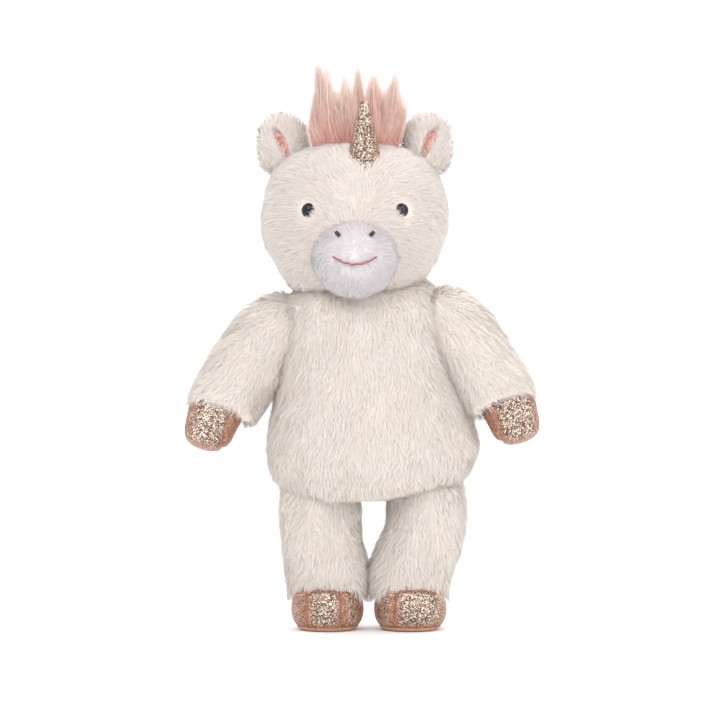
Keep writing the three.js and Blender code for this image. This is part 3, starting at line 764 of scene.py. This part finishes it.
def make_muzzle():
    """The muzzle patch, whose short pile lies away from its middle."""
    skin = ball_surface(MUZZLE, MUZZLE_HALF)
    skin.swell(-1.4 * MM + 0.35 * MM * ripple(skin.points, 22 * MM, 91))
    backing = surface_object("muzzle_backing", skin, MUZZLE_BACKING)
    place(backing, "head", "muzzle_plush", "muzzle_patch")

    def keep(p, n):
        return n[:, 1] < 0.45

    def comb(points, normals):
        away = points - MUZZLE
        away[:, 1] = 0
        return unit(unit(away) + np.array([0, 0, -0.4]))

    def muzzle_length(points):
        """Short over the mouth and longer round the rim, where it runs into the face's pile."""
        off = points - MUZZLE
        rim = np.hypot(off[:, 0] / MUZZLE_HALF[0], off[:, 2] / MUZZLE_HALF[2])
        return np.interp(rim, [0.5, 1.0], [2.6, 5.5]) * MM

    pile = fur("muzzle_fur", skin, MUZZLE_PILE, seed=92, per_mm2=3.4, length=muzzle_length, thick=0.15 * MM,
               comb=comb, lie=0.8, keep=keep, wave=12 * MM)
    place(pile, "head", "muzzle_plush")


# ---------- eyes, nostrils and mouth ----------


def lathe(profile, point, way, around=48):
    """A turned form: (radius, height) pairs in metres round the line from `point` along `way`."""
    way = unit(np.asarray(way, float))
    side = unit(np.cross(way, [0.0, 0.0, 1.0] if abs(way[2]) < 0.9 else [1.0, 0.0, 0.0]))
    other = np.cross(way, side)
    ring = circle(full_turn(around), side, other)
    return Surface(np.array([point + way * height + radius * ring for radius, height in profile]))


EYE_RADIUS = 4.5 * MM
EYE_DOME = 0.85 * EYE_RADIUS  # how high the dome stands
EYE_OUT = 4.2 * MM  # how far its front stands out from the middle of the eye in the frame
EYE_DROP = 1.0 * MM
SHANK = 1.6 * MM
SHANK_LONG = 7 * MM


def make_eye(side):
    """A safety eye: the dome, its flat back and the shank that goes through the cloth."""
    way = unit(np.array([OUT[side] * 0.45, -0.9, 0.0]))
    turn = np.linspace(0.02, math.pi / 2, 20)
    dome = [(EYE_RADIUS * math.sin(t), EYE_DOME * (math.cos(t) - 1)) for t in turn]
    rim = [(EYE_RADIUS, -EYE_DOME - 0.4 * MM), (0.8 * EYE_RADIUS, -EYE_DOME - 0.9 * MM)]
    end = -EYE_DOME - SHANK_LONG
    shank = [(SHANK, -EYE_DOME - 1.0 * MM), (SHANK, end), (0.1 * MM, end)]
    at = EYES[side] + way * EYE_OUT - np.array([0, 0, EYE_DROP])
    eye = surface_object(f"{side}_safety_eye", lathe(dome + rim + shank, at, way), EYE_PLASTIC)
    place(eye, "head", "eye_plastic", f"{side}_eye")


def on_muzzle(across, up, out):
    """Points on the front of the muzzle, at places across and up from its middle, moved outwards."""
    half = MUZZLE_HALF + out
    y = -half[1] * np.sqrt(np.maximum(1 - (across / half[0]) ** 2 - (up / half[2]) ** 2, 0.01))
    return MUZZLE + np.stack([across, y, up], -1)


STITCH_POINTS = 8  # points of the line in one stitch
STITCH_PULL = 0.22  # how much thinner it is between two stitches


def thread_run(name, points, radius, material, body, slot, *nodes):
    """A run of stitches along a line: short overlapping spindles, each a tightly pulled stitch."""
    count = len(points)
    way = unit(np.gradient(points, axis=0))
    side = unit(np.cross(way, [0.0, 1.0, 0.0]))
    other = np.cross(way, side)
    angle = full_turn(12)[None, :, None]
    stitches = max(2, count // STITCH_POINTS)
    pull = 1 - STITCH_PULL * np.abs(np.cos(np.linspace(0, math.pi * stitches, count)))
    ends = np.clip(np.minimum(np.arange(count), np.arange(count)[::-1]) / 2 + 0.25, 0, 1)
    size = (radius * pull * ends)[:, None, None]
    rings = points[:, None] + size * (np.cos(angle) * side[:, None] + np.sin(angle) * other[:, None])
    place(surface_object(name, Surface(rings), material), body, slot, *nodes)


SMILE_HALF = 13.2 * MM
NOSTRIL = (10.1 * MM, 13.6 * MM)  # across and up from the middle of the muzzle
NOSTRIL_HALF = 1.1 * MM


def make_mouth():
    t = np.linspace(-1, 1, 96)
    sag = 0.25 * np.sin(t * 16) * (1 - t**2)  # the line of hand stitches wavers
    smile = on_muzzle(t * SMILE_HALF, (-4.6 + sag + 4.9 * t**2) * MM, 0.5 * MM)
    thread_run("smile_stitching", smile, 0.62 * MM, ROSE_THREAD, "head", "rose_thread", "mouth_stitch")
    run = np.linspace(-1, 1, 24) * NOSTRIL_HALF
    for side in SIDES:
        nostril = on_muzzle(OUT[side] * (NOSTRIL[0] + run), NOSTRIL[1] + run, 0.6 * MM)
        thread_run(f"{side}_nostril_stitching", nostril, 1.3 * MM, DARK_THREAD, "head", "dark_thread",
                   f"{side}_nostril_stitch")


# ---------- ears ----------


EAR_WIDE = [13, 17, 17.5, 16, 13]
EAR_DEEP = [6.5, 7.5, 7.5, 7, 6]
EAR_SINK = -3.2 * MM


class Slit:
    """The slit down the front of an ear, in which the lining shows."""

    def __init__(self, side):
        across = EAR[side][0]
        top = box(f"{side}_ear_outer")[1][2]
        self.top = np.array([across + OUT[side] * 3 * MM, 0, top - 11 * MM])
        foot = np.array([across - OUT[side] * 5 * MM, 0, top - 29 * MM])
        self.run = foot - self.top
        self.reach = np.linalg.norm(self.run)
        self.down = self.run / self.reach
        self.over = np.array([-self.down[2], 0, self.down[0]])

    def place_in(self, points):
        """(how far down the slit, 0 to 1; how far across it, in half widths)."""
        gap = points - self.top
        along = gap @ self.down / self.reach
        half = np.interp(along, [-0.15, 0.15, 0.6, 1.05], [0.2, 3.4, 2.5, 1.2]) * MM
        return along, (gap @ self.over) / half


def make_ear_lining(side, slit):
    """A long pad of lining cloth that fills the slit."""
    steps = np.linspace(-0.08, 1.0, 40)
    half = np.interp(steps, [-0.08, 0.12, 0.6, 1.0], [0.6, 3.4, 2.6, 1.0]) * MM
    centre = slit.top + steps[:, None] * slit.run
    centre[:, 1] = EAR[side][1] - 4.2 * MM
    flat = np.array([0, 0.35, 0])
    rings = centre[:, None] + half[:, None, None] * circle(full_turn(24), slit.over, flat)
    lining = surface_object(f"{side}_ear_lining_cloth", Surface(rings), LINING)
    place(lining, f"{side}_ear", "ear_lining", f"{side}_ear_lining")


def make_ear(side):
    out = OUT[side]
    name = f"{side}_ear"
    top = box(f"{side}_ear_outer")[1][2]
    root = EAR[side] + np.array([-out * 2.5 * MM, 0, -9 * MM])
    tip = np.array([EAR[side][0] - out * 0.5 * MM, EAR[side][1] - 1 * MM, top + 2 * MM])
    middle = (root + tip) / 2 + np.array([out * 1.0 * MM, 0, 0])
    skin = tube([root, middle, tip], np.array(EAR_WIDE) * MM, np.array(EAR_DEEP) * MM, (8 * MM, 11 * MM))
    skin.swell(EAR_SINK)
    slit = Slit(side)
    along, across = slit.place_in(skin.points)
    inside = np.clip(1.15 - np.abs(across), 0, 1) * ((along > -0.15) & (along < 1.05))
    skin.points[:, 1] += (skin.normals[:, 1] < -0.2) * inside * 4.0 * MM
    skin.settle()
    backing = surface_object(f"{name}_backing", skin, FACE_BACKING)
    place(backing, name, "body_fur", f"{side}_ear_outer")

    def keep(p, n):
        """Pile grows everywhere above the ear's root but in the slit."""
        along, across = slit.place_in(p)
        in_slit = (np.abs(across) < 1.0) & (along > -0.1) & (along < 1.05) & (n[:, 1] < 0.1)
        return (p[:, 2] > EAR[side][2] - 10 * MM) & ~in_slit

    def upward(points, normals):
        way = unit(tip - root)
        return np.tile(way, (len(points), 1)) + 0.5 * unit(points - middle) * np.array([1, 0, 0])

    pile = fur(f"{name}_fur", skin, FACE_PILE, seed=101 + (out > 0), per_mm2=2.6, length=6.0 * MM,
               thick=0.18 * MM, comb=upward, lie=0.7, keep=keep, wave=10 * MM)
    place(pile, name, "body_fur")
    make_ear_lining(side, slit)


# ---------- horn ----------


HORN_TALL = 37.2
HORN_OUTLINE = [(0.4, -5), (11.2, -5), (10.4, 0), (8.9, 8), (6.8, 17.5), (4.9, 27), (3.5, 33), (2.3, 36)]
HORN_OUTLINE += [(0.4, HORN_TALL)]


def make_horn():
    """The stuffed cone of glitter cloth: silvery in front with a painted highlight, and copper at its sides
    as painted shade.
    """
    low, high = box("horn_cover")
    way = unit(np.array([0, -0.26, 1.0]))
    foot = np.array([(low[0] + high[0]) / 2, -31 * MM, 281 * MM])
    reach = (high[2] - foot[2]) / way[2]
    curve = smooth_curve(HORN_OUTLINE, 120)
    curve[:, 1] *= reach / (HORN_TALL * MM)
    skin = lathe([(max(radius, 0.15) * MM, height * MM) for radius, height in curve], foot, way, 96)
    skin.swell(0.22 * MM * ripple(skin.points, 9 * MM, 121))
    horn = surface_object("horn_cloth", skin, GLITTER)
    # Painted highlight: the more the cloth faces forward, towards the lamps, the more silvery it is.
    paint(horn, "painted_highlight", np.clip(-skin.normals[:, 1] * 1.6 - 0.35, 0, 1))
    place(horn, "head", "glitter_cloth", "horn_cover")


# ---------- mane and tail ----------


MANE_FIBRES = 1700
FIBRE_LEVELS = 5
FIBRE_THICK = 0.16 * MM
FIBRE_TAPER = 0.6
STRAY_SHARE = 0.03  # of the fibres stand out of their wisp


def lock(spine, spread, count, rng, wisps=8):
    """Long fibres of one tuft, as levels x fibres x 3: they part into wisps that each end in a point.

    `spread` is the tuft's half width at its root, middle and tip."""
    line = smooth_curve(np.asarray(spine, float) * MM, FIBRE_LEVELS)
    way = unit(line[-1] - line[0])
    side = unit(np.cross(way, [0.0, 1.0, 0.02]))
    other = np.cross(way, side)

    def scattered(number):
        angle = rng.uniform(0, 2 * math.pi, number)
        rho = np.sqrt(rng.uniform(0, 1, number))
        return np.stack([rho * np.cos(angle), rho * np.sin(angle)], 1)

    start = scattered(count)
    wisp = rng.integers(0, wisps, count)
    middle = scattered(wisps)
    wisp_length = rng.uniform(0.66, 1.06, wisps) * (1 - 0.12 * np.linalg.norm(middle, axis=1))
    end = wisp_length[wisp] * rng.uniform(0.55, 1.0, count) ** 0.5
    stray = rng.uniform(size=count) < STRAY_SHARE
    wild = rng.normal(0, 1, (count, 3)) * np.where(stray, 2.6, 0.6)[:, None]
    paths = []
    levels = np.linspace(0, 1, FIBRE_LEVELS)
    for level in levels:
        at = np.stack([np.interp(level * end, levels, line[:, axis]) for axis in range(3)], 1)
        gather = level * end
        across = start * (1 - gather)[:, None] + (middle[wisp] + 0.1 * start) * gather[:, None]
        half = np.interp(level, [0, 0.5, 1], spread) * MM
        offset = side * (half * across[:, :1]) + other * (half * across[:, 1:])
        paths.append(at + offset + wild * level**2 * 1.4 * MM)
    return np.array(paths)


def long_pile(name, paths, rng):
    return spikes(name, paths, unit(paths[-1] - paths[0]), FIBRE_THICK, FIBRE_TAPER, MANE_PILE, rng)


# Each tuft of the mane: root, bend and tip in millimetres from the top of the head, its half width at the
# bend, and how many fibres it has, as a share of MANE_FIBRES.
TUFTS = [
    ((-15, -12, -9), (-20, -12, 14), (-22, -10, 59), 9.5, 1.1),
    ((-11, -14, -9), (-15, -14, 14), (-16, -12, 60), 8.5, 1.0),
    ((-17, -12, -9), (-24, -12, 8), (-27, -12, 42), 8, 0.8),
    ((-4, -14, -9), (-6, -14, 12), (-7, -11, 55), 7, 0.8),
    ((2, -10, -9), (2, -10, 14), (1, -9, 58), 7, 0.8),
    ((9, -14, -9), (12, -14, 14), (13, -9, 59), 9, 1.0),
    ((12, -10, -9), (19, -12, 14), (23, -10, 61), 9, 1.1),
    ((14, -12, -9), (22, -10, 10), (28, -8, 42), 8, 0.8),
    ((0, 2, -6), (2, 4, 14), (4, 6, 36), 11, 1.0),
    ((-10, 2, -7), (-13, 5, 12), (-15, 8, 36), 9, 0.9),
    ((10, 2, -7), (13, 5, 12), (15, 8, 36), 9, 0.9),
]
NAPE_TUFTS = 12


def nape_tufts():
    """The mane's tufts down the back of the head, each lying over the next."""
    radii, heights = np.array(HEAD_OUTLINE).T
    tufts = []
    for share in np.linspace(0.97, 0.38, NAPE_TUFTS):
        radius = np.interp(share, heights, radii) * HEAD_HALF * HEAD_DEPTH / MM
        y = HEAD_FOOT[1] / MM + radius
        z = (share - 1) * HEAD_HEIGHT / MM
        rise = (share - 0.4) * 14
        tufts.append(((-5, y - 5, z), (-5, y + 5, z + rise - 4), (-5, y + 9, z + rise - 22), 7, 0.6))
    return tufts


def make_mane():
    rng = np.random.default_rng(131)
    top = np.array([HEAD_FOOT[0] + 2 * MM, 0, HEAD_HIGH[2]]) / MM
    nape = nape_tufts()
    groups = {"mane_front_left": TUFTS[:4], "mane_front_right": TUFTS[4:8], "mane_crown": TUFTS[8:]}
    half_way = NAPE_TUFTS // 2
    groups.update({"mane_nape_high": nape[:half_way], "mane_nape_low": nape[half_way:]})
    for number, (name, tufts) in enumerate(groups.items()):
        paths = []
        for root, bend, tip, half, share in tufts:
            spine = np.array([root, bend, tip]) + top
            paths.append(lock(spine, (half * 0.9, half, half * 0.9), int(share * MANE_FIBRES), rng))
        pile = long_pile(name, np.concatenate(paths, 1), rng)
        nodes = ["mane_pile"] if number == 0 else []
        place(pile, "head", "mane_fur", *nodes)


def make_tail():
    """One lock of long pile that hangs from the tail's root."""
    rng = np.random.default_rng(141)
    route = [(0, -7, 1), (0, 9, 0), (0, 15, -15), (-1, 17, -38)]
    spine = np.array(route) + TAIL / MM
    pile = long_pile("tail_lock", lock(spine, (5, 8, 2), 2 * MANE_FIBRES, rng), rng)
    place(pile, "tail", "mane_fur", "tail_pile")


# ---------- hooves and feet ----------


# Millimetres from the shoulder, on the side towards +X.
HOOF_SPINE = [(35, -9, -34), (41, -12, -48), (46.5, -17, -64), (49.5, -19, -75)]
HOOF_WIDE = [16, 18, 17.5, 16, 12.5]
HOOF_DEEP = [16, 17.5, 17, 16, 13]
CREASE_HALF = 1.1 * MM
CREASE_DEEP = 1.1 * MM


def make_hoof(side):
    """The glitter end of an arm: silvery in front with a painted highlight, with a sewn crease beside its
    side panel, and both stay copper as painted shade.
    """
    point, way = wrist(side)
    spine = SHOULDER[side] + np.array(mirrored(HOOF_SPINE, side)) * MM
    skin = tube(spine, np.array(HOOF_WIDE) * MM, np.array(HOOF_DEEP) * MM, (10 * MM, 9 * MM), square=2.6)
    skin.swell(-1.2 * MM)
    lead = (skin.points - point) @ way
    short = np.maximum(2.5 * MM - lead, 0)
    skin.points = skin.points + short[:, None] * way * 0.97
    skin.settle()
    from_crease = (skin.points[:, 0] - point[0]) * OUT[side] + 6.5 * MM - 0.25 * lead
    crease = np.exp(-((from_crease / CREASE_HALF) ** 2))
    facing = skin.normals[:, 1].copy()
    skin.swell(-CREASE_DEEP * crease)
    hoof = surface_object(f"{side}_hoof_cloth", skin, GLITTER)
    # Painted highlight where the hoof faces forward; none on the side panel and in the crease, which stay
    # copper as painted shade.
    side_panel = np.clip(-from_crease / (2 * MM), 0, 1)
    paint(hoof, "painted_highlight", np.clip(-facing * 1.8 - 0.55, 0, 1) * (1 - side_panel) * (1 - crease))
    place(hoof, f"{side}_arm", "glitter_cloth", f"{side}_hoof_front", f"{side}_hoof_side")


# Where each foot is pinched by a sewn crease, in degrees round it from +X.
CREASES = {"left": (-125, -66, 35, 145), "right": (-118, 35, 145)}


FOOT_HALF = 22 * MM
FOOT_TALL = 27
FOOT_LONG = 1.12  # length over width
FOOT_OUTLINE = [(0, 1.2), (0.68, 1.4), (0.86, 3.2), (0.97, 7.5), (1.0, 13), (0.96, 19), (0.86, 24)]
FOOT_OUTLINE += [(0.4, FOOT_TALL), (0, FOOT_TALL)]
SOLE_OUTLINE = [(0, 0), (0.5, 0.0), (0.7, 0.1), (0.8, 0.5), (0.78, 1), (0, 1)]
SOLE_THICK = 2.6 * MM


def make_shoe(side, centre):
    """The glitter cloth of a foot, pinched by its sewn creases: silvery in front with a painted highlight,
    and copper along the creases as painted shade.
    """
    outline = [(radius, height / FOOT_TALL) for radius, height in FOOT_OUTLINE]
    skin = turned(outline, centre, FOOT_HALF, FOOT_TALL * MM, FOOT_LONG, rings=72, around=128)
    angle = np.arctan2(skin.points[:, 1] - centre[1], skin.points[:, 0] - centre[0])
    creases = np.zeros(len(skin.points))
    # Copper along each crease is painted shade: the painted highlight is taken out there.
    crease_shade = np.zeros(len(skin.points))
    for degrees in CREASES[side]:
        gap = (np.degrees(angle) - degrees + 180) % 360 - 180
        creases = np.maximum(creases, np.exp(-((gap / 4.5) ** 2)))
        crease_shade = np.maximum(crease_shade, np.exp(-((gap / 11.0) ** 2)))
    rise = np.clip(skin.points[:, 2] / (6 * MM), 0, 1)
    facing = skin.normals[:, 1].copy()
    skin.swell(-1.4 * MM * creases * rise)
    shoe = surface_object(f"{side}_foot_cloth", skin, GLITTER)
    # Painted highlight where the foot faces forward; none along the creases and on the lowest few
    # millimetres.
    low_edge = np.clip((skin.points[:, 2] - 3 * MM) / (3 * MM), 0, 1)
    paint(shoe, "painted_highlight", np.clip(-facing * 2.2 - 0.7, 0, 1) * (1 - crease_shade) * low_edge)
    place(shoe, f"{side}_leg", "glitter_cloth", f"{side}_foot_front", f"{side}_foot_back")


def make_foot(side):
    centre = sum(box(f"{side}_foot_sole")) / 2
    centre[2] = 0
    make_shoe(side, centre)
    sole = turned(SOLE_OUTLINE, centre, FOOT_HALF, SOLE_THICK, FOOT_LONG, rings=40, around=128)
    sole.points[:, 2] = np.maximum(sole.points[:, 2], 0)
    pad = surface_object(f"{side}_sole_cloth", sole, SOLE)
    place(pad, f"{side}_leg", "sole_cloth", f"{side}_foot_sole")


# ---------- what stays hidden inside ----------

HIDDEN = {"neck_seam": CREAM_THREAD, "mane_backing": MANE_BACKING}
HIDDEN.update({f"{side}_eye_washer": WASHER_PLASTIC for side in SIDES})
HIDDEN.update({f"{part}_stuffing": FIBRE for part in ("torso", "head", "horn")})
HIDDEN.update({f"{side}_{limb}_stuffing": FIBRE for side in SIDES for limb in ("arm", "leg")})


def dress_hidden():
    """Gives the CAD pieces that nothing stands for the finish of what they are made of."""
    for name, material in HIDDEN.items():
        for slot in bpy.data.objects[name].material_slots:
            slot.material = material


# ---------- camera, floor and light ----------


SWEEP_NEAR = -1.6
SWEEP_FAR = 0.9  # where the floor starts to curve up behind the toy
SWEEP_CURVE = 0.6
SWEEP_TOP = 3.0
SWEEP_HALF = 2.5


def make_floor():
    """A white paper sweep: a floor that curves up into a wall behind the toy."""
    finish = Finish("floor_white", 0.9)
    finish.set("Base Color", FLOOR_WHITE)
    profile = [(SWEEP_NEAR, 0.0), (SWEEP_FAR, 0.0)]
    for t in np.linspace(0, math.pi / 2, 24):
        profile.append((SWEEP_FAR + SWEEP_CURVE * math.sin(t), SWEEP_CURVE * (1 - math.cos(t))))
    profile.append((SWEEP_FAR + SWEEP_CURVE, SWEEP_TOP))
    points = [(x, y, z) for y, z in profile for x in (-SWEEP_HALF, SWEEP_HALF)]
    quads = np.array([[2 * k, 2 * k + 1, 2 * k + 3, 2 * k + 2] for k in range(len(profile) - 1)])
    mesh_object("studio_sweep", np.array(points), [quads], finish.material)


def lamp(name, at, aim, size, power):
    """A round soft lamp turned towards a point."""
    data = bpy.data.lights.new(name, "AREA")
    data.shape = "DISK"
    data.size = size
    data.energy = power
    obj = bpy.data.objects.new(name, data)
    bpy.context.scene.collection.objects.link(obj)
    obj.location = at
    way = np.array(aim) - np.array(at)
    obj.rotation_euler = (math.acos(-way[2] / np.linalg.norm(way)), 0, math.atan2(-way[0], way[1]))


def make_light():
    middle = (0, 0, 0.17)
    lamp("key", (-0.4, -1.4, 1.3), middle, 1.3, 15)
    lamp("fill", (1.2, -1.2, 0.8), middle, 1.4, 7)
    lamp("rim", (0.2, 0.7, 1.6), middle, 1.0, 12)
    world = bpy.data.worlds.new("studio")
    world.use_nodes = True
    background = world.node_tree.nodes["Background"]
    background.inputs["Color"].default_value = (1, 1, 1, 1)
    background.inputs["Strength"].default_value = 1.0
    bpy.context.scene.world = world
    bpy.context.scene.view_settings.view_transform = "Standard"


CAMERA_AWAY = 1.6
CAMERA_SEES = 0.432  # how wide the view is at the toy
CAMERA_HEIGHT = 163 * MM
SENSOR = 36


def make_camera():
    """Level, in front of the toy and at half its height."""
    data = bpy.data.cameras.new("photo_view")
    camera = bpy.data.objects.new("photo_view", data)
    bpy.context.scene.collection.objects.link(camera)
    data.sensor_width = SENSOR
    data.lens = SENSOR * CAMERA_AWAY / CAMERA_SEES
    camera.location = (-1.2 * MM, -CAMERA_AWAY - 0.02, CAMERA_HEIGHT)
    camera.rotation_euler = (math.pi / 2, 0, 0)
    bpy.context.scene.camera = camera


make_torso()
make_head()
make_muzzle()
make_mouth()
make_horn()
make_mane()
make_tail()
for each_side in SIDES:
    make_shoulder_seam(each_side)
    make_arm(each_side)
    make_leg(each_side)
    make_eye(each_side)
    make_ear(each_side)
    make_hoof(each_side)
    make_foot(each_side)
dress_hidden()
make_floor()
make_light()
make_camera()
